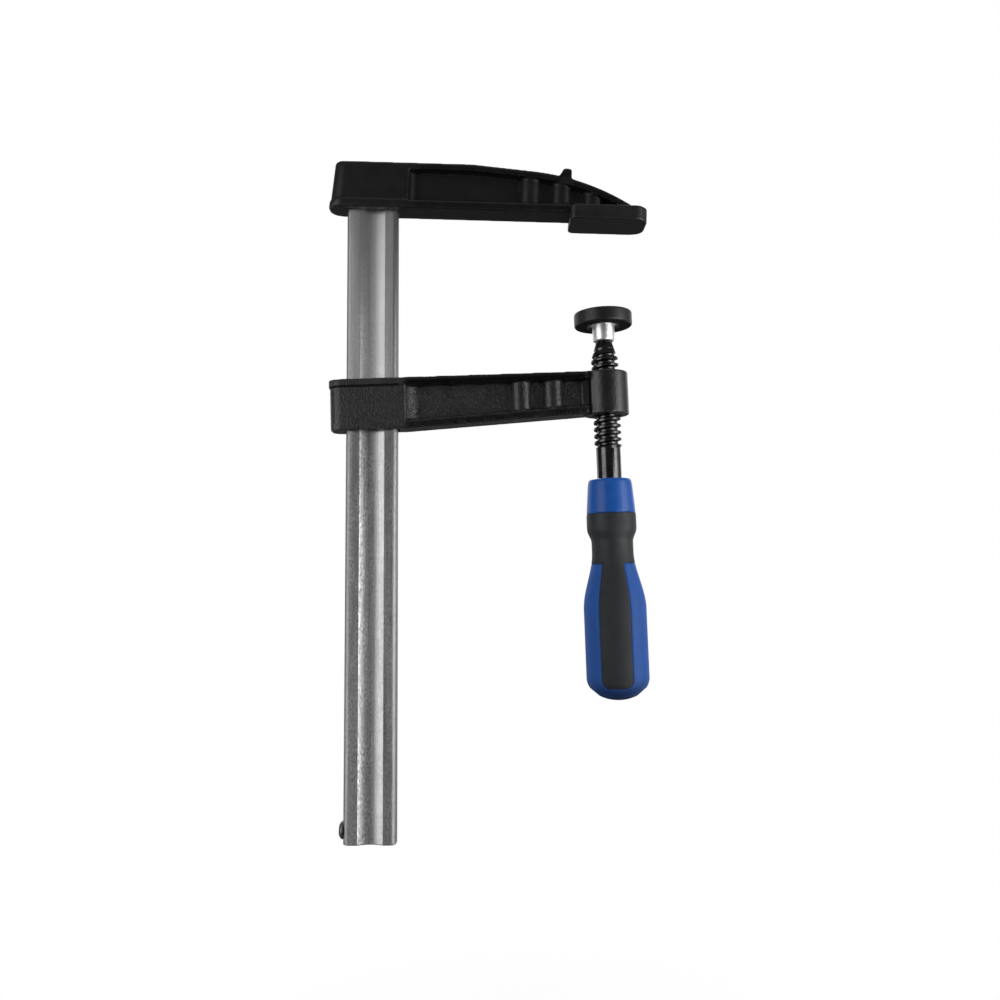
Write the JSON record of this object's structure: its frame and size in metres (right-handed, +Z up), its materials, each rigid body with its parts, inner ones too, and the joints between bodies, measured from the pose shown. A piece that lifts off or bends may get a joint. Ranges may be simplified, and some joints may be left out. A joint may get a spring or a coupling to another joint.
{
  "type": "bar clamp",
  "caption": "Bench bar clamp: grooved steel rail, arched cast fixed jaw, sliding cast jaw, and a screw spindle with a swivelling pressure plate and a two-component handle.",
  "frame": {"origin": "point of the fixed pad's clamping face that the spindle aims at", "axes": "+X along the arms from the rail towards the spindle, +Y across the rail's thickness, +Z up along the rail"},
  "size_m": [0.1887, 0.0357, 0.3958],
  "materials": {
    "rail_steel": "zinc plated, drawn along its length",
    "rivet_steel": "dark, smooth",
    "jaw_lacquer": "black lacquer over a smooth casting",
    "jaw_cast": "black, rough as cast",
    "cap_plastic": "fine matte",
    "spindle_steel": "blackened and oiled",
    "ring_wire": "bright wire",
    "plate_plating": "bright plating",
    "handle_blue": "satin",
    "handle_soft": "soft matte"
  },
  "bodies": {
    "frame": {"guide_rail": "rail_steel", "stop_rivet": "rivet_steel", "fixed_jaw": "jaw_lacquer", "fixed_jaw_cap": "cap_plastic"},
    "jaw": {"sliding_jaw": "jaw_cast"},
    "swivel": {"retaining_ring": "ring_wire"},
    "screw": {"spindle": "spindle_steel", "handle_core": "handle_blue", "handle_grip": "handle_soft"},
    "pad": {"pressure_plate": "plate_plating", "plate_cap": "cap_plastic"}
  },
  "joints": [
    {"name": "jaw_slide", "type": "slide", "parent": "frame", "child": "jaw", "axis": [0, 0, 1], "range_m": [-0.222, 0.03]},
    {"name": "spindle_feed", "type": "slide", "parent": "jaw", "child": "swivel", "axis": [-0.0279, 0, 0.9996], "range_m": [-0.0171, 0.0171]},
    {"name": "spindle_turn", "type": "hinge", "parent": "swivel", "child": "screw", "pos_m": [0.00125, 0, -0.06488], "axis": [-0.0279, 0, 0.9996], "range_deg": [-1530, 1530]},
    {"name": "plate_tilt", "type": "hinge", "parent": "swivel", "child": "pad", "pos_m": [0.00125, 0, -0.06488], "axis": [0, 1, 0], "range_deg": [-5, 5]}
  ],
  "couplings": [
    {"joint": "spindle_feed", "follows": "spindle_turn", "m_per_rad": 0.00063662}
  ]
}
